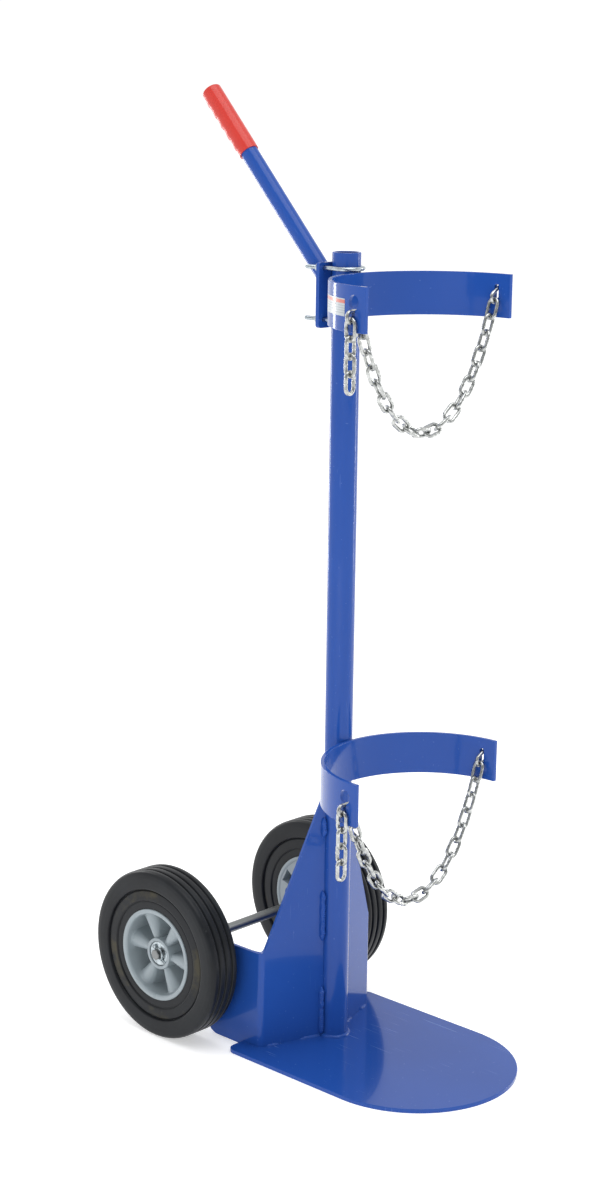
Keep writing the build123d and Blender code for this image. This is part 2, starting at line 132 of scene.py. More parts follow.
def lathe(origin, outward, profile, segments):
    """Solid of revolution. profile(angle) is a closed loop of (outward, radial) pairs in metres,
    and the angle runs from +Z towards +Y."""
    verts = []
    count = 0
    for i in range(segments):
        angle = 2 * math.pi * i / segments
        radial = Vector((0, math.sin(angle), math.cos(angle)))
        loop = profile(angle)
        count = len(loop)
        for out, r in loop:
            verts.append(origin + outward * out + radial * r)
    faces = ring_faces(segments, count, True)
    if outward.x > 0:
        faces = [face[::-1] for face in faces]
    return verts, faces


def rounded(points, radius, steps=4):
    """Closed outline with each corner cut by a short arc-like curve."""
    result = []
    count = len(points)
    for i in range(count):
        before = Vector(points[i - 1])
        here = Vector(points[i])
        after = Vector(points[(i + 1) % count])
        size = min(radius, (before - here).length * 0.45, (after - here).length * 0.45)
        start = here + (before - here).normalized() * size
        end = here + (after - here).normalized() * size
        for k in range(steps + 1):
            t = k / steps
            result.append(tuple(start * (1 - t) ** 2 + here * (2 * t * (1 - t)) + end * t ** 2))
    return result


# ------------------------------------------------------------------ materials

class Shader:
    """Short names for the nodes of one material."""

    def __init__(self, name):
        self.material = bpy.data.materials.new(name)
        self.material.use_nodes = True
        self.tree = self.material.node_tree
        self.body = self.tree.nodes["Principled BSDF"]
        self.coords = self.tree.nodes.new("ShaderNodeTexCoord").outputs["Object"]

    def node(self, kind, **values):
        made = self.tree.nodes.new(kind)
        for key, value in values.items():
            if hasattr(made, key):
                setattr(made, key, value)
            else:
                made.inputs[key.replace("_", " ")].default_value = value
        return made

    def link(self, source, target):
        self.tree.links.new(source, target)

    def set(self, **values):
        for key, value in values.items():
            self.body.inputs[key.replace("_", " ")].default_value = value

    def stretched(self, scale):
        mapping = self.node("ShaderNodeMapping")
        mapping.inputs["Scale"].default_value = scale
        self.link(self.coords, mapping.inputs["Vector"])
        return mapping.outputs[0]

    def noise(self, scale, detail=2.0, roughness=0.5, coords=None):
        made = self.node("ShaderNodeTexNoise", Scale=scale, Detail=detail, Roughness=roughness)
        self.link(coords or self.coords, made.inputs["Vector"])
        return made.outputs["Fac"]

    def ramp(self, source, stops):
        made = self.node("ShaderNodeValToRGB")
        elements = made.color_ramp.elements
        while len(elements) < len(stops):
            elements.new(0.5)
        for element, (place, colour) in zip(elements, stops):
            element.position = place
            element.color = colour if len(colour) == 4 else (*colour, 1)
        self.link(source, made.inputs["Fac"])
        return made.outputs["Color"]

    def math(self, operation, a, b=None, clamp=False):
        made = self.node("ShaderNodeMath", operation=operation, use_clamp=clamp)
        for index, value in enumerate((a, b)):
            if value is None:
                continue
            if isinstance(value, (int, float)):
                made.inputs[index].default_value = value
            else:
                self.link(value, made.inputs[index])
        return made.outputs[0]

    def mix(self, factor, a, b):
        made = self.node("ShaderNodeMix", data_type="RGBA")
        for socket, value in ((made.inputs[0], factor), (made.inputs[6], a), (made.inputs[7], b)):
            if isinstance(value, tuple):
                socket.default_value = (*value, 1)
            elif isinstance(value, (int, float)):
                socket.default_value = value
            else:
                self.link(value, socket)
        return made.outputs[2]

    def bump(self, height, strength, distance):
        made = self.node("ShaderNodeBump", Strength=strength, Distance=distance)
        self.link(height, made.inputs["Height"])
        self.link(made.outputs[0], self.body.inputs["Normal"])
        return made

    def scratches(self, scale, seed_turn, density):
        """Thin straight marks along one direction, as a 0 to 1 mask."""
        mapping = self.node("ShaderNodeMapping")
        mapping.inputs["Rotation"].default_value = seed_turn
        mapping.inputs["Scale"].default_value = (scale, scale * 0.02, scale * 0.06)
        self.link(self.coords, mapping.inputs["Vector"])
        fine = self.noise(6.0, 1.0, 0.4, mapping.outputs[0])
        patch = self.noise(9.0, 2.0)
        line = self.ramp(fine, [(density, (0, 0, 0)), (density + 0.02, (1, 1, 1))])
        where = self.ramp(patch, [(0.52, (0, 0, 0)), (0.62, (1, 1, 1))])
        return self.math("MULTIPLY", line, where)


BLUE = (0.016, 0.070, 0.325)
BLUE_DEEP = (0.013, 0.062, 0.298)
BLUE_PALE = (0.14, 0.24, 0.54)
PRIMER = (0.10, 0.10, 0.09)


def blue_paint(name, scratched=0.0, chips=()):
    """High-gloss powder coat with orange peel, faint scratches and a few chips."""
    s = Shader(name)
    s.set(Specular_IOR_Level=0.14, Coat_Weight=0.24, Coat_Roughness=0.03, Coat_IOR=1.5)
    cloud = s.noise(3.5, 3.0)
    colour = s.mix(s.ramp(cloud, [(0.35, (0, 0, 0)), (0.65, (1, 1, 1))]), BLUE, BLUE_DEEP)
    peel = s.noise(420.0, 1.0)
    waviness = s.noise(55.0, 1.0)
    height = s.math("ADD", s.math("MULTIPLY", peel, 0.25), waviness)
    rough = s.math("ADD", s.math("MULTIPLY", s.noise(18.0, 4.0), 0.10), 0.10)
    if scratched:
        one_way = s.scratches(70, (0, 0, 0.5), 0.70)
        other_way = s.scratches(60, (0, 0, -1.1), 0.71)
        marks = s.math("MAXIMUM", one_way, other_way)
        marks = s.math("MULTIPLY", marks, scratched)
        colour = s.mix(marks, colour, BLUE_PALE)
        rough = s.math("ADD", rough, s.math("MULTIPLY", marks, 0.3))
    specks = s.ramp(s.noise(260.0, 0.0), [(0.82, (0, 0, 0)), (0.85, (1, 1, 1))])
    colour = s.mix(s.math("MULTIPLY", specks, 0.2), colour, BLUE_PALE)
    for place, size in chips:
        offset = s.node("ShaderNodeVectorMath", operation="DISTANCE")
        s.link(s.coords, offset.inputs[0])
        offset.inputs[1].default_value = place
        ragged = s.math("MULTIPLY", s.noise(380.0, 3.0, 0.7), size * 1.5)
        away = s.math("ADD", offset.outputs["Value"], ragged)
        chip = s.math("LESS_THAN", away, size * 1.25)
        colour = s.mix(chip, colour, PRIMER)
        rough = s.math("ADD", rough, s.math("MULTIPLY", chip, 0.5), clamp=True)
    s.link(colour, s.body.inputs["Base Color"])
    s.link(rough, s.body.inputs["Roughness"])
    s.bump(height, 0.06, 0.0004)
    return s.material


def zinc(name, tint=(0.70, 0.72, 0.72), shadow=(0.50, 0.51, 0.49), rough=0.22):
    """Bright zinc plate with a cloudy, slightly uneven surface."""
    s = Shader(name)
    s.set(Metallic=1.0, Roughness=rough)
    cloud = s.noise(160.0, 4.0, 0.6)
    colour = s.mix(s.ramp(cloud, [(0.38, (0, 0, 0)), (0.66, (1, 1, 1))]), tint, shadow)
    grime = s.ramp(s.noise(420.0, 3.0, 0.7), [(0.66, (0, 0, 0)), (0.74, (1, 1, 1))])
    colour = s.mix(s.math("MULTIPLY", grime, 0.5), colour, (0.20, 0.19, 0.16))
    s.link(colour, s.body.inputs["Base Color"])
    spread = s.math("MULTIPLY", s.noise(240.0, 3.0), 0.22)
    s.link(s.math("ADD", spread, rough - 0.08), s.body.inputs["Roughness"])
    s.bump(s.noise(600.0, 3.0), 0.12, 0.0003)
    return s.material


def steel(name):
    """Dull bar stock with lengthwise grain."""
    s = Shader(name)
    s.set(Metallic=1.0, Roughness=0.42)
    grain = s.noise(30.0, 3.0, 0.6, s.stretched((0.6, 30, 30)))
    colour = s.mix(grain, (0.17, 0.18, 0.18), (0.30, 0.31, 0.31))
    s.link(colour, s.body.inputs["Base Color"])
    s.link(s.math("ADD", s.math("MULTIPLY", grain, 0.25), 0.28), s.body.inputs["Roughness"])
    s.bump(grain, 0.10, 0.0002)
    return s.material


def wheel_radius(s):
    """Distance from the axle's line, for marks that go round a wheel."""
    split = s.node("ShaderNodeSeparateXYZ")
    s.link(s.coords, split.inputs[0])
    y = s.math("SUBTRACT", split.outputs["Y"], axle_mid.y)
    z = s.math("SUBTRACT", split.outputs["Z"], axle_mid.z)
    return s.math("SQRT", s.math("ADD", s.math("MULTIPLY", y, y), s.math("MULTIPLY", z, z)))


def rubber(name):
    """Moulded tyre rubber: bloom, scuffs and yellowish residue in the recessed ring."""
    s = Shader(name)
    s.set(Specular_IOR_Level=0.22)
    cloud = s.noise(14.0, 5.0, 0.6)
    patches = s.ramp(cloud, [(0.35, (0, 0, 0)), (0.7, (1, 1, 1))])
    colour = s.mix(patches, (0.005, 0.006, 0.008), (0.012, 0.014, 0.017))
    radius = wheel_radius(s)
    ring = s.ramp(s.math("DIVIDE", radius, 0.2), [
        (0.430, (0, 0, 0)), (0.445, (1, 1, 1)), (0.495, (1, 1, 1)), (0.520, (0, 0, 0))])
    patchy = s.ramp(s.noise(9.0, 5.0, 0.7), [(0.50, (0, 0, 0)), (0.60, (1, 1, 1))])
    residue = s.math("MULTIPLY", s.math("MULTIPLY", ring, patchy), 0.42)
    colour = s.mix(residue, colour, (0.075, 0.062, 0.025))
    scuff = s.ramp(s.noise(90.0, 6.0, 0.75), [(0.63, (0, 0, 0)), (0.72, (1, 1, 1))])
    colour = s.mix(s.math("MULTIPLY", scuff, 0.25), colour, (0.09, 0.093, 0.096))
    s.link(colour, s.body.inputs["Base Color"])
    s.link(s.math("ADD", s.math("MULTIPLY", cloud, 0.25), 0.26), s.body.inputs["Roughness"])
    s.bump(s.noise(500.0, 4.0, 0.6), 0.10, 0.0004)
    return s.material


def hub_plastic(name):
    """Grey moulded plastic with a satin skin."""
    s = Shader(name)
    s.set(Specular_IOR_Level=0.5)
    cloud = s.noise(22.0, 4.0)
    colour = s.mix(cloud, (0.245, 0.287, 0.310), (0.280, 0.325, 0.350))
    dust = s.ramp(s.noise(140.0, 5.0, 0.7), [(0.62, (0, 0, 0)), (0.72, (1, 1, 1))])
    colour = s.mix(s.math("MULTIPLY", dust, 0.25), colour, (0.18, 0.19, 0.19))
    s.link(colour, s.body.inputs["Base Color"])
    s.link(s.math("ADD", s.math("MULTIPLY", cloud, 0.2), 0.20), s.body.inputs["Roughness"])
    s.bump(s.noise(700.0, 2.0), 0.05, 0.0003)
    return s.material


def vinyl(name):
    """Soft red vinyl with a fine grain."""
    s = Shader(name)
    s.set(Specular_IOR_Level=0.3, Coat_Weight=0.15, Coat_Roughness=0.15)
    cloud = s.noise(40.0, 3.0)
    colour = s.mix(cloud, (0.50, 0.030, 0.021), (0.56, 0.042, 0.030))
    s.link(colour, s.body.inputs["Base Color"])
    spread = s.math("MULTIPLY", s.noise(120.0, 4.0), 0.25)
    s.link(s.math("ADD", spread, 0.20), s.body.inputs["Roughness"])
    s.bump(s.noise(900.0, 2.0), 0.10, 0.0003)
    return s.material


def bronze(name):
    """Sintered bearing bronze."""
    s = Shader(name)
    s.set(Metallic=1.0, Roughness=0.4)
    colour = s.mix(s.noise(300.0, 4.0), (0.35, 0.22, 0.10), (0.50, 0.34, 0.17))
    s.link(colour, s.body.inputs["Base Color"])
    s.bump(s.noise(900.0, 2.0), 0.1, 0.0002)
    return s.material


PAINT = blue_paint("blue_paint", scratched=0.18)
PLATE_PAINT = blue_paint("blue_paint_scratched", scratched=0.5)
saddle_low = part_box("upper_saddle")[0]
label_mid = centre("label")
chip_places = [
    ((label_mid.x + 0.004, label_mid.y - 0.004, saddle_low[2] + 0.003), 0.006),
    ((label_mid.x + 0.0005, label_mid.y - 0.016, saddle_low[2] + 0.001), 0.003),
]
SADDLE_PAINT = blue_paint("blue_paint_chipped", scratched=0.12, chips=chip_places)
CHAIN_ZINC = zinc("zinc_chain", tint=(0.55, 0.56, 0.55), shadow=(0.31, 0.32, 0.31), rough=0.24)
HARD_ZINC = zinc("zinc_hardware", tint=(0.50, 0.56, 0.59), shadow=(0.35, 0.39, 0.41), rough=0.24)
STEEL = steel("axle_steel")
RUBBER = rubber("tyre_rubber")
HUB = hub_plastic("hub_plastic")
GRIP = vinyl("grip_vinyl")
BRONZE = bronze("bush_bronze")


def assign(node, material):
    slots = nodes[node].data.materials
    slots.clear()
    slots.append(material)


for node in ("mast_tube", "side_plate_left", "side_plate_right", "lower_saddle"):
    assign(node, PAINT)
for node in ("handle_plate", "handle_tube"):
    assign(node, PAINT)
assign("foot_plate", PLATE_PAINT)
assign("upper_saddle", SADDLE_PAINT)
assign("axle", STEEL)
assign("axle_washers", HARD_ZINC)
for side in ("left", "right"):
    assign(f"{side}_inner_bush", BRONZE)
    assign(f"{side}_outer_bush", BRONZE)


# ------------------------------------------------------------------ chains

def link_frames(node):
    """Centre and axes (long, wide, thin) of each separate link of a chain node."""
    mesh = nodes[node].data
    points = np.empty(len(mesh.vertices) * 3)
    mesh.vertices.foreach_get("co", points)
    points = points.reshape(-1, 3)
    # join coincident vertices, then follow the edges to each loose part
    _, same = np.unique(np.round(points / (0.01 * MM)).astype(np.int64), axis=0, return_inverse=True)
    same = same.ravel()
    parent = list(range(same.max() + 1))

    def root(i):
        while parent[i] != i:
            parent[i] = parent[parent[i]]
            i = parent[i]
        return i

    for edge in mesh.edges:
        a, b = root(same[edge.vertices[0]]), root(same[edge.vertices[1]])
        parent[a] = b
    groups = {}
    for index, key in enumerate(same):
        groups.setdefault(root(key), []).append(index)
    found = []
    for members in groups.values():
        cloud = points[members]
        middle = (cloud.max(axis=0) + cloud.min(axis=0)) / 2
        _, _, axes = np.linalg.svd(cloud - cloud.mean(axis=0), full_matrices=False)
        found.append((Vector(middle), Vector(axes[0]), Vector(axes[1])))
    return found


def link_mesh(place, seam_side):
    """One welded link: an oval of round wire with a slightly swollen weld on one limb."""
    middle, along, wide = place
    wire = 2.75 * MM
    limb = 5.0 * MM + wire
    half = 7.2 * MM
    weld_reach = 2.2 * wire
    weld_swell, weld_half = 0.16, 1.5 * MM
    neck_dip, neck_at, neck_half = 0.05, 2.4 * MM, 0.6 * MM
    points = []
    arc_steps = 14
    for end in (1, -1):
        for k in range(arc_steps + 1):
            turn = math.pi * k / arc_steps
            x = end * (half + limb * math.sin(turn))
            y = end * limb * math.cos(turn)
            points.append(middle + along * x + wide * y)
        for k in range(1, 6):
            x = end * half * (1 - k / 3)
            points.append(middle + along * x - wide * (end * limb))
    weld = middle + wide * (seam_side * limb)

    def radius(run, angle):
        return wire
    verts, faces = sweep(points, radius, 12, closed=True, up=along.cross(wide))
    swollen = []
    for vert in verts:
        off = (vert - weld).dot(along)
        grow = 0.0
        if (vert - weld).length < weld_reach:
            swell = weld_swell * math.exp(-(off / weld_half) ** 2)
            dip = neck_dip * math.exp(-((abs(off) - neck_at) / neck_half) ** 2)
            grow = swell - dip
        axis_point = weld + along * off
        swollen.append(vert + (vert - axis_point) * grow)
    return swollen, faces


def make_chain(node, body):
    """Welded links in the places of a chain node's own links."""
    verts = []
    faces = []
    for n, place in enumerate(link_frames(node)):
        part_verts, part_faces = link_mesh(place, 1 if n % 2 else -1)
        start = len(verts)
        verts += part_verts
        faces += [tuple(start + i for i in face) for face in part_faces]
    add_piece(f"{node}_links", verts, faces, CHAIN_ZINC, body, [node])


for level in ("upper", "lower"):
    make_chain(f"{level}_chain", f"{level}_swag")
    make_chain(f"{level}_chain_tail", f"{level}_tail")
    make_chain(f"{level}_chain_keyhole_link", "cart_frame")
    make_chain(f"{level}_chain_anchor_link", "cart_frame")


# ------------------------------------------------------------------ weld beads

def weld_bead(name, points, width, seed, closed=False, across=None, flat=1.0):
    """Painted-over weld: a half-sunk tube with overlapping ripples and soft ends.

    flat is the bead's height over its width, with the width lying along across.
    """
    total = sum((b - a).length for a, b in zip(points, points[1:]))
    pitch = 3.4 * MM

    def radius(run, angle):
        lag = 0.35 * math.cos(2 * angle)
        ripple = 0.07 * math.sin(2 * math.pi * (run / pitch + lag))
        lump = 0.22 * noise.noise(Vector((run * 150, seed * 7.3, math.cos(angle))))
        taper = 1.0
        if not closed:
            ends = min(run, total - run) / (width * 0.6)
            taper = math.sqrt(max(0.03, min(1.0, ends)))
        oval = flat / math.hypot(flat * math.cos(angle), math.sin(angle))
        return width / 2 * taper * oval * (1 + ripple + lump)
    up = (points[1] - points[0]).normalized().cross(across) if across else None
    verts, faces = sweep(points, radius, 16, closed, up)
    return add_piece(name, verts, faces, PAINT, "cart_frame")


def straight(start, end, step=0.6 * MM):
    """Points along a line, a step apart."""
    count = max(4, round((end - start).length / step))
    return [start.lerp(end, k / count) for k in range(count + 1)]


def circle(middle, across, up, radius, step=0.7 * MM):
    """Points round a circle, a step apart."""
    count = round(2 * math.pi * radius / step)
    turn = 2 * math.pi / count
    points = []
    for k in range(count):
        angle = k * turn
        offset = across * (radius * math.cos(angle)) + up * (radius * math.sin(angle))
        points.append(middle + offset)
    return points


PANEL_ANGLE = math.radians(18.56)
for side, mark in ((-1, "left"), (1, "right")):
    outward = Vector((side * math.cos(PANEL_ANGLE), math.sin(PANEL_ANGLE), 0))
    front = Vector((outward.y * side, -outward.x * side, 0))
    # three stitches up the joint, front and back
    for n, (low, high) in enumerate(((9, 88), (163, 244), (330, 362))):
        for face, sign in (("front", 1), ("back", -1)):
            foot = outward * (mast_r + 3.4 * MM) + front * (sign * 2.8 * MM)
            weld_bead(
                f"weld_{mark}_{face}_{n}",
                straight(foot + Vector((0, 0, low * MM)), foot + Vector((0, 0, high * MM))),
                13.0 * MM, n + 4 * side + sign, across=outward, flat=0.62,
            )
    # panel base on the foot plate: one bead by the mast, one by the bend
    for n, (near, far) in enumerate(((24, 62), (97, 119))):
        base = front * (2.4 * MM) + Vector((0, 0, plate_top))
        weld_bead(
            f"weld_{mark}_base_{n}",
            straight(base + outward * (near * MM), base + outward * (far * MM)),
            6.0 * MM, 20 + n + 3 * side,
        )
weld_bead(
    "weld_mast_foot",
    circle(Vector((0, 0, plate_top)), Vector((1, 0, 0)), Vector((0, 1, 0)), mast_r + 0.6 * MM),
    8.0 * MM, 31, closed=True,
)
for level in ("upper", "lower"):
    low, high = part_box(f"{level}_saddle")
    for side in (-1, 1):
        x = side * 9.5 * MM
        y = high[1] + 1.4 * MM
        weld_bead(
            f"weld_{level}_saddle_{'left' if side < 0 else 'right'}",
            straight(Vector((x, y, low[2] + 4 * MM)), Vector((x, y, high[2] - 3 * MM))),
            5.4 * MM, 40 + side + len(level),
        )

# handle tube where it meets the back of its plate
plate_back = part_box("handle_plate")[1][1]
tube_low, tube_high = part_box("handle_tube")
tube_r = (tube_high[0] - tube_low[0]) / 2
TUBE_DIR = Vector((0, 0.6781, 0.7350)).normalized()
foot_z = tube_low[2] + tube_r / TUBE_DIR.y
weld_bead(
    "weld_handle_tube",
    [Vector((tube_r * math.cos(a), plate_back + 0.4 * MM, foot_z + tube_r / TUBE_DIR.y * math.sin(a)))
     for a in (2 * math.pi * k / 150 for k in range(150))],
    6.0 * MM, 50, closed=True,
)


# ------------------------------------------------------------------ fasteners

def catmull(points, steps):
    """Smooth run through the given points."""
    result = []
    for i in range(len(points) - 1):
        before, here = points[max(i - 1, 0)], points[i]
        after, beyond = points[i + 1], points[min(i + 2, len(points) - 1)]
        for k in range(steps):
            t = k / steps
            result.append(0.5 * (
                2 * here + (after - before) * t + (2 * before - 5 * here + 4 * after - beyond) * t ** 2
                + (3 * here - before - 3 * after + beyond) * t ** 3))
    return result + [points[-1]]


def add_fastener(name, verts, faces, node, sharp):
    """Zinc-plated piece on the frame that stands for a CAD node."""
    return add_piece(
        name, verts, faces, HARD_ZINC, "cart_frame", [node], sharp=sharp,
    )


def make_u_bolt(level):
    """Bent rod with rolled threads on both legs. Returns its legs' x and its height."""
    node = f"{level}_u_bolt"
    low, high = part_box(node)
    rod_r = (high[2] - low[2]) / 2
    bend_r = high[0] - rod_r
    leg = high[1]
    pitch = 1.27 * MM
    thread_len = 36 * MM
    thread_depth = 0.55 * MM
    end_chamfer = 0.5 * MM
    steps = 7
    z = (low[2] + high[2]) / 2
    runs = [leg - k * pitch / steps for k in range(round(steps * thread_len / pitch))]
    runs += [leg / 4, 0]
    left = [Vector((-bend_r, y, z)) for y in runs]
    turns = [math.pi * k / 40 for k in range(1, 40)]
    arc = [Vector((-bend_r * math.cos(a), -bend_r * math.sin(a), z)) for a in turns]
    points = left + arc + [Vector((-p.x, p.y, z)) for p in reversed(left)]
    total = sum((b - a).length for a, b in zip(points, points[1:]))

    def radius(run, angle):
        end = min(run, total - run)
        if end > thread_len - pitch:
            return rod_r
        turn = (run / pitch + angle / (2 * math.pi)) % 1.0
        crest = abs(2 * turn - 1)
        cut = thread_depth * (1 - crest)
        return rod_r - cut - max(0.0, end_chamfer - end)
    verts, faces = sweep(points, radius, 20, up=Vector((0, 0, 1)))
    add_fastener(f"{node}_threaded", verts, faces, node, 60)
    return bend_r, z


def make_nuts(seats, rod_r):
    """Chamfered hex nuts on split lock washers."""
    plate_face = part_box("handle_plate")[1][1]
    washer_low, washer_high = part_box("u_bolt_lock_washers")
    nut_low, nut_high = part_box("u_bolt_nuts")
    rise_between = seats[-1].z - seats[0].z
    flat_r = (nut_high[2] - nut_low[2] - rise_between) / 2
    washer_r = (washer_high[2] - washer_low[2] - rise_between) / 2
    bore = rod_r + 0.03 * MM
    face_r = flat_r * 0.97
    corner_r = flat_r / math.cos(math.pi / 6)
    chamfer_slope = 0.55
    bore_chamfer = (corner_r - face_r) * chamfer_slope
    washer_gap = 0.15 * MM
    washer_spring = 0.12 * MM
    sides = 96
    nut_verts, nut_faces, washer_verts, washer_faces = [], [], [], []
    for seat in seats:
        start = len(nut_verts)
        for j in range(sides):
            angle = 2 * math.pi * j / sides
            off = (angle + math.pi / 6) % (math.pi / 3) - math.pi / 6
            hexagon = flat_r / math.cos(off)
            drop = max(0.0, hexagon - face_r) * chamfer_slope
            direction = Vector((math.sin(angle), 0, math.cos(angle)))
            front, rear = nut_low[1], nut_high[1]
            loop = (
                (front, bore), (front, face_r), (front + drop, hexagon),
                (rear - drop, hexagon), (rear, face_r),
                (rear, bore + bore_chamfer), (rear - bore_chamfer, bore),
            )
            nut_verts += [Vector((seat.x, y, seat.z)) + direction * r for y, r in loop]
        nut_faces += ring_faces(sides, len(loop), True, start)
        start = len(washer_verts)
        steps = 60
        for j in range(steps + 1):
            angle = math.radians(8 + 344 * j / steps + seat.x * 900)
            direction = Vector((math.sin(angle), 0, math.cos(angle)))
            rise = washer_spring * math.sin(math.pi * (j / steps - 0.5))
            front = plate_face + washer_gap + rise
            rear = washer_high[1] - washer_gap + rise
            loop = ((front, bore), (front, washer_r), (rear, washer_r), (rear, bore))
            washer_verts += [Vector((seat.x, y, seat.z)) + direction * r for y, r in loop]
        washer_faces += ring_faces(steps + 1, 4, False, start)
        washer_faces.append((start + 3, start + 2, start + 1, start))
        washer_faces.append(tuple(start + 4 * steps + i for i in range(4)))
    outward_faces(add_fastener("nuts_chamfered", nut_verts, nut_faces, "u_bolt_nuts", 25))
    outward_faces(
        add_fastener("lock_washers_split", washer_verts, washer_faces, "u_bolt_lock_washers", 25)
    )


def outward_faces(piece):
    """Turns every face of a closed mesh to the outside."""
    work = bmesh.new()
    work.from_mesh(piece.data)
    bmesh.ops.recalc_face_normals(work, faces=work.faces)
    work.to_mesh(piece.data)
    work.free()


def make_split_pins():
    """Bent wire pins: eye, one leg on the washer, one leg curled round the axle's end."""
    turn = math.radians(38)
    way = Vector((0, math.sin(turn), math.cos(turn)))
    across = Vector((0, math.cos(turn), -math.sin(turn)))
    pin_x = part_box("split_pins")[1][0] - 1.54 * MM
    wide, thin = 1.35 * MM, 0.74 * MM
    leg = 0.78
    curl_r = 10.9
    curl_turns = [math.radians(degrees) for degrees in (196, 225, 255, 285, 312)]
    verts, faces = [], []
    for side in (-1, 1):
        def place(x, out, off):
            centre_x = side * (pin_x + x * MM)
            return Vector((centre_x, axle_mid.y, axle_mid.z)) + way * (out * MM) + across * (off * MM)
        bent_leg = [(-leg, -17.6, -3.2), (-leg, -13.0, -1.2), (-leg, -9.0, 0), (-leg, 8.2, 0)]
        eye = [(-0.7, 10.4, -1.6), (-0.4, 13.4, -2.3), (0, 15.4, 0), (0.4, 13.4, 2.3), (0.7, 10.4, 1.6)]
        curled_leg = [(leg, 8.2, 0), (leg, -8.6, 0)]
        curled_leg += [(leg, curl_r * math.cos(a), curl_r * math.sin(a)) for a in curl_turns]
        route = [place(*point) for point in bent_leg + eye + curled_leg]
        points = catmull(route, 10)

        def radius(run, angle):
            return wide * thin / math.hypot(thin * math.cos(angle), wide * math.sin(angle))
        part_verts, part_faces = sweep(points, radius, 16, up=Vector((1, 0, 0)))
        start = len(verts)
        verts += part_verts
        faces += [tuple(start + i for i in face) for face in part_faces]
    add_fastener("split_pins_bent", verts, faces, "split_pins", 60)


bolt_x, upper_bolt_z = make_u_bolt("upper")
_, lower_bolt_z = make_u_bolt("lower")
bolt_seats = [Vector((x, 0, z)) for z in (lower_bolt_z, upper_bolt_z) for x in (-bolt_x, bolt_x)]
make_nuts(bolt_seats, span("upper_u_bolt").z / 2)
make_split_pins()


# ------------------------------------------------------------------ wheels

def tyre_profile():
    """Half section in mm, as (outward, radius): seat, recessed ring, shoulder and ribbed tread."""
    seat = [(23.0, 72.4), (23.2, 83.8), (22.2, 85.2)]
    ring = [(24.4, 86.6), (24.6, 88.0), (24.3, 101.0), (22.4, 102.6), (22.2, 103.6)]
    band = [(26.7, 104.7), (27.2, 107), (27.4, 114), (27.2, 122)]
    shoulder = [(26.3, 128.0), (24.6, 131.2), (21.0, 132.9)]
    face = seat + ring + band + shoulder
    groove_half = [(4.6, 133.3), (2.1, 132.9), (1.3, 130.1)]
    tread = []
    for groove in (13.0, 0.0, -13.0):
        tread += [(groove + off, r) for off, r in groove_half]
        tread += [(groove - off, r) for off, r in reversed(groove_half)]
    back = [(-a, r) for a, r in reversed(face)]
    loop = [(a * MM, r * MM) for a, r in rounded(face + tread + back, 1.0, 3)]
    return lambda angle: loop


def spoke_angles(first):
    """Angles of the hub's columns, crowded where the spokes' flanks are steep, and how far
    each is off its spoke in degrees."""
    half = [0, 2, 4, 6, 7.5, 8.8, 9.8, 10.4, 11.2, 12.2, 12.9, 13.4, 13.7, 13.9]
    half += [14.3, 14.8, 15.3, 15.8, 16.4, 18, 21, 24, 27]
    sector = [-d for d in half[:0:-1]] + half + [30]
    angles = [math.radians(first + 60 * n + d) for n in range(6) for d in sector]
    return angles, sector * 6


def smooth(t):
    """Eased step from 0 to 1."""
    t = min(1.0, max(0.0, t))
    return t * t * (3 - 2 * t)


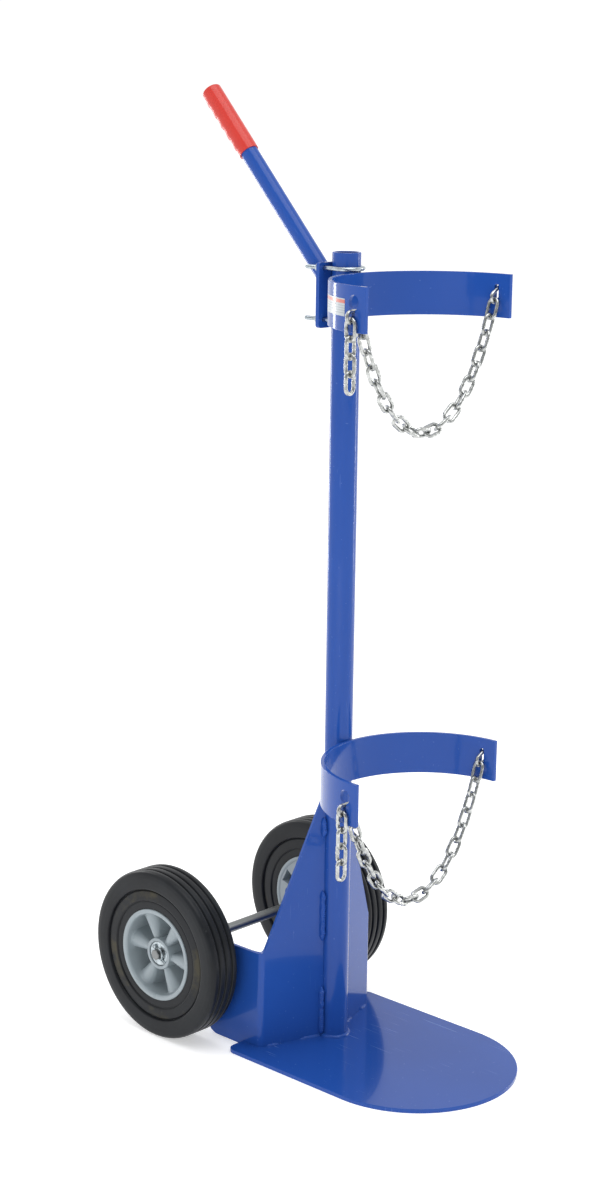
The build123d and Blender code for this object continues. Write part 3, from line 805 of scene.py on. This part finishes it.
def hub_section(off):
    """Closed (outward, radius) loop of the hub at an angle off the nearest spoke, in mm."""
    web_front, web_back = -20.8, -24.0
    boss_r, wall_r = 24.8, 63.6
    off = abs(off)
    edge, cavity_edge = 13.9, 10.4

    def front(r):
        run = r * math.cos(math.radians(off))
        half = 0.2475 * run
        axis_a = 11.66 - 0.1966 * run
        if off <= edge:
            across = run * math.tan(math.radians(off))
            top = axis_a + math.sqrt(max(0.0, half * half - across * across))
        else:
            fall = (off - edge) / 2.5
            top = axis_a + (web_front - axis_a) * min(1.0, fall) ** 0.8
        near_wall = max(0.0, 1 - (wall_r - r) / 2.2)
        near_boss = max(0.0, 1 - (r - boss_r) / 2.0)
        fillet = 2.2 * (1 - math.sqrt(1 - near_wall ** 2)) + 2.0 * (1 - math.sqrt(1 - near_boss ** 2))
        return top + fillet

    def back(r):
        run = r * math.cos(math.radians(off))
        half = 0.2475 * run
        axis_a = 11.66 - 0.1966 * run
        depth = axis_a + (half - 3.0) * math.sqrt(max(0.0, 1 - (off / cavity_edge) ** 2))
        open_side = 1 - smooth((off - cavity_edge + 0.6) / 1.4)
        open_run = smooth((run - 30.0) / 1.5) * smooth((61.5 - run) / 1.5)
        return web_back + (depth - web_back) * open_side * open_run

    rim = [(21.6, 64.7), (23.2, 65.4), (24.2, 66.6), (24.6, 68.0)]
    rim += [(24.6, 71.2), (24.2, 72.1), (23.2, 72.4)]
    pocket = [(-7.5, 12.7), (12.0, 12.7), (12.5, 13.2), (12.5, 19.2), (12.9, 19.6)]
    boss = [(16.4, 19.6), (16.9, 20.2), (16.9, 23.9), (16.6, 24.5), (15.8, 24.8)]
    loop = pocket + boss
    stations = [boss_r + (wall_r - boss_r) * k / 34 for k in range(35)]
    base = [(front(r), r) for r in stations]
    wall_foot = base[-1][0]
    loop += [(15.0, boss_r), (base[0][0] + 0.4 * (15.0 - base[0][0]), boss_r)] + base
    loop += [(wall_foot + (21.0 - wall_foot) * k / 8, wall_r + 0.9 * k / 8) for k in range(1, 9)]
    loop += rim + [(-a, r) for a, r in reversed(rim[1:])]
    stations = [65.0, 64.0, 62.8, 62.0, 61.6, 61.2, 60.8, 60.4, 60.0, 59.0]
    stations += [57.0 - 2.5 * k for k in range(10)]
    stations += [32.5, 31.9, 31.5, 31.1, 30.7, 30.3, 29.8, 26.0, 22.5]
    loop += [(back(r), r) for r in stations]
    loop += [(-25.5, 20.0), (-45.5, 19.0), (-46.1, 18.4), (-46.1, 13.3), (-45.5, 12.7)]
    loop += [(-26.1, 12.7), (-26.1, 9.4), (-7.5, 9.4)]
    return [(a * MM, r * MM) for a, r in loop]


def make_hub(mark, origin, outward, first):
    """One closed mesh: the hub's section swept round the axle, through all six spokes."""
    angles, offs = spoke_angles(first)
    verts = []
    sections = {off: hub_section(off) for off in set(offs)}
    for angle, off in zip(angles, offs):
        radial = Vector((0, math.sin(angle), math.cos(angle)))
        verts += [origin + outward * out + radial * r for out, r in sections[off]]
    faces = ring_faces(len(angles), len(sections[0]), True)
    if outward.x > 0:
        faces = [face[::-1] for face in faces]
    body = f"{mark}_wheel"
    add_piece(f"{mark}_hub_moulded", verts, faces, HUB, body, [f"{mark}_hub"], sharp=38)


for side, mark in ((-1, "left"), (1, "right")):
    middle = centre(f"{mark}_tyre")
    outward = Vector((side, 0, 0))
    verts, faces = lathe(middle, outward, tyre_profile(), 240)
    add_piece(
        f"{mark}_tyre_moulded", verts, faces, RUBBER, f"{mark}_wheel",
        [f"{mark}_tyre"], sharp=50,
    )
    make_hub(mark, middle, outward, 24.95 if side < 0 else 2.0)


# ------------------------------------------------------------------ grip

def make_grip():
    """Dipped vinyl sleeve: plain on top, shallow finger ridges along the underside."""
    length, body_r, corner = 121.0, 15.1, 3.2
    ridge_pitch, last_ridge, ridge_rise = 20.7, 101.0, 2.0
    lip_rise, lip_len = 0.9, 3.5
    seam_rise, seam_turn = 0.25, 0.72
    under = Vector((0, TUBE_DIR.z, -TUBE_DIR.y))
    across = Vector((1, 0, 0))
    tube_end = Vector((0, tube_high[1] - tube_r * TUBE_DIR.z, tube_high[2] - tube_r * TUBE_DIR.y))
    mouth = tube_end - TUBE_DIR * ((length - 6.0) * MM)
    runs = [length * i / 170 for i in range(165)]
    runs += [length - corner * (1 - math.sin(t * math.pi / 16)) for t in range(1, 9)]
    runs = sorted(run for run in runs if run <= length)
    segments = 72

    def place(run, angle, r):
        radial = under * math.cos(angle) + across * math.sin(angle)
        return mouth + TUBE_DIR * (run * MM) + radial * r
    verts = []
    for run in runs:
        end = length - run
        for j in range(segments):
            angle = 2 * math.pi * j / segments
            facing = max(0.0, math.cos(angle))
            wave = 0.5 + 0.5 * math.cos(2 * math.pi * (run - last_ridge) / ridge_pitch)
            inside = smooth((run - 7.0) / 7.0) * smooth((end - 5.0) / 7.0)
            r = body_r - 0.2 * facing + ridge_rise * wave ** 1.4 * facing ** 1.8 * inside
            r += lip_rise * smooth(1 - run / lip_len) * facing ** 0.5
            seam = math.exp(-((abs(math.sin(angle + seam_turn)) - 1) / 0.003) ** 2)
            r += seam_rise * seam * min(1.0, end / 6.0)
            if end < corner:
                r -= corner * (1 - math.sqrt(max(0.0, 1 - (1 - end / corner) ** 2)))
            verts.append(place(run, angle, r * MM))
    bore = tube_r + 0.05 * MM
    for depth in (0.0, 12.0):
        for j in range(segments):
            angle = 2 * math.pi * j / segments
            verts.append(place(depth, angle, bore))
    count = len(runs)
    faces = ring_faces(count, segments, False)
    last = count * segments
    for j in range(segments):
        k = (j + 1) % segments
        faces.append((k, j, last + j, last + k))
        faces.append((last + k, last + j, last + segments + j, last + segments + k))
    faces.append(tuple((count - 1) * segments + j for j in range(segments)))
    add_piece("grip_sleeve", verts, faces, GRIP, "cart_frame", ["handle_grip"], sharp=60)


make_grip()


# ------------------------------------------------------------------ sticker

def make_label():
    """Blank sticker: white, with a plain orange-red bar and pale grey bars."""
    s = Shader("sticker")
    s.set(Roughness=0.3, Coat_Weight=0.4, Coat_Roughness=0.1)
    low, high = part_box("label")
    split = s.node("ShaderNodeSeparateXYZ")
    s.link(s.coords, split.inputs[0])
    height = s.math("DIVIDE", s.math("SUBTRACT", split.outputs["Z"], low[2]), high[2] - low[2])
    bars = s.node("ShaderNodeValToRGB")
    bars.color_ramp.interpolation = "CONSTANT"
    paper, red, grey = (0.34, 0.38, 0.41, 1), (0.50, 0.07, 0.03, 1), (0.21, 0.24, 0.27, 1)
    stops = [(0.0, paper)]
    for bar in (0.16, 0.30, 0.44, 0.58):
        stops += [(bar, grey), (bar + 0.04, paper)]
    stops += [(0.73, red), (0.93, paper)]
    elements = bars.color_ramp.elements
    while len(elements) < len(stops):
        elements.new(0.99)
    for element, (place, colour) in zip(elements, stops):
        element.position = place
        element.color = colour
    s.link(height, bars.inputs["Fac"])
    dust = s.math("MULTIPLY", s.noise(300.0, 3.0), 0.12)
    s.link(s.mix(dust, bars.outputs["Color"], (0.55, 0.56, 0.56)), s.body.inputs["Base Color"])
    spread = s.math("MULTIPLY", s.noise(90.0, 2.0), 0.15)
    s.link(s.math("ADD", spread, 0.25), s.body.inputs["Roughness"])
    s.bump(s.noise(200.0, 2.0), 0.05, 0.0002)
    assign("label", s.material)


make_label()


# ------------------------------------------------------------------ studio

def toward_view(azimuth, elevation):
    """Unit vector from the object towards a viewer. Azimuth 0 looks along +Y."""
    flat = math.cos(elevation)
    return Vector((math.sin(azimuth) * flat, -math.cos(azimuth) * flat, math.sin(elevation)))


def make_studio():
    """Pale floor, bright surround and softboxes, all still."""
    floor_mesh = bpy.data.meshes.new("floor")
    size = 30.0
    corners = [(-size, -size, 0), (size, -size, 0), (size, size, 0), (-size, size, 0)]
    floor_mesh.from_pydata(corners, [], [(0, 1, 2, 3)])
    floor = bpy.data.objects.new("floor", floor_mesh)
    bpy.context.scene.collection.objects.link(floor)
    s = Shader("floor")
    s.set(Roughness=0.7, Specular_IOR_Level=0.1, Emission_Color=(1, 1, 1, 1), Emission_Strength=0.42)
    colour = s.mix(s.noise(2.0, 3.0), (0.84, 0.84, 0.84), (0.88, 0.88, 0.88))
    s.link(colour, s.body.inputs["Base Color"])
    floor_mesh.materials.append(s.material)

    world = bpy.data.worlds.new("studio")
    world.use_nodes = True
    bpy.context.scene.world = world
    tree = world.node_tree
    background = tree.nodes["Background"]
    background.inputs["Strength"].default_value = 1.05
    # bright all round, dim on the side the studio is worked from
    coords = tree.nodes.new("ShaderNodeTexCoord")
    toward = tree.nodes.new("ShaderNodeVectorMath")
    toward.operation = "DOT_PRODUCT"
    toward.inputs[1].default_value = (-0.60, -0.80, 0.0)
    ramp = tree.nodes.new("ShaderNodeValToRGB")
    ramp.color_ramp.elements[0].position = 0.15
    ramp.color_ramp.elements[0].color = (1, 1, 1, 1)
    ramp.color_ramp.elements[1].position = 0.62
    ramp.color_ramp.elements[1].color = (0.38, 0.39, 0.40, 1)
    tree.links.new(coords.outputs["Generated"], toward.inputs[0])
    tree.links.new(toward.outputs["Value"], ramp.inputs["Fac"])
    tree.links.new(ramp.outputs["Color"], background.inputs["Color"])

    target = Vector((0, -0.05, 0.65))
    view_azimuth = -46.8

    def softbox(name, turn, elevation, distance, width, tall, power, mirrored=True):
        place = toward_view(math.radians(view_azimuth + turn), math.radians(elevation))
        data = bpy.data.lights.new(name, "AREA")
        data.shape = "RECTANGLE"
        data.size = width
        data.size_y = tall
        data.energy = power
        lamp = bpy.data.objects.new(name, data)
        lamp.location = target + place * distance
        lamp.rotation_euler = (target - lamp.location).to_track_quat("-Z", "Y").to_euler()
        lamp.visible_glossy = mirrored
        bpy.context.scene.collection.objects.link(lamp)

    softbox("strip_left", -138, 4, 3.4, 0.30, 3.2, 34)
    softbox("strip_right", 112, 4, 3.4, 0.22, 3.2, 30)
    softbox("top", 30, 72, 3.2, 2.4, 2.4, 44)
    softbox("fill_front", -14, 8, 3.4, 1.8, 1.8, 32, mirrored=False)


def make_camera():
    """The viewing angle: azimuth 0 looks along +Y."""
    azimuth = math.radians(-46.78)
    elevation = math.radians(13.14)
    roll = math.radians(0.78)
    back = toward_view(azimuth, elevation)
    right = Vector((math.cos(azimuth), math.sin(azimuth), 0))
    up = back.cross(right)
    x_axis = right * math.cos(roll) + up * math.sin(roll)
    y_axis = up * math.cos(roll) - right * math.sin(roll)
    data = bpy.data.cameras.new("camera")
    data.sensor_fit = "VERTICAL"
    data.sensor_height = 36.0
    data.lens = 68.48
    data.clip_end = 60
    camera = bpy.data.objects.new("camera", data)
    turn = Matrix((x_axis, y_axis, back)).transposed().to_4x4()
    camera.matrix_world = Matrix.Translation(Vector((-2.45127, -2.23298, 1.47142))) @ turn
    bpy.context.scene.collection.objects.link(camera)
    bpy.context.scene.camera = camera


make_studio()
make_camera()
bpy.context.scene.view_settings.view_transform = "Standard"
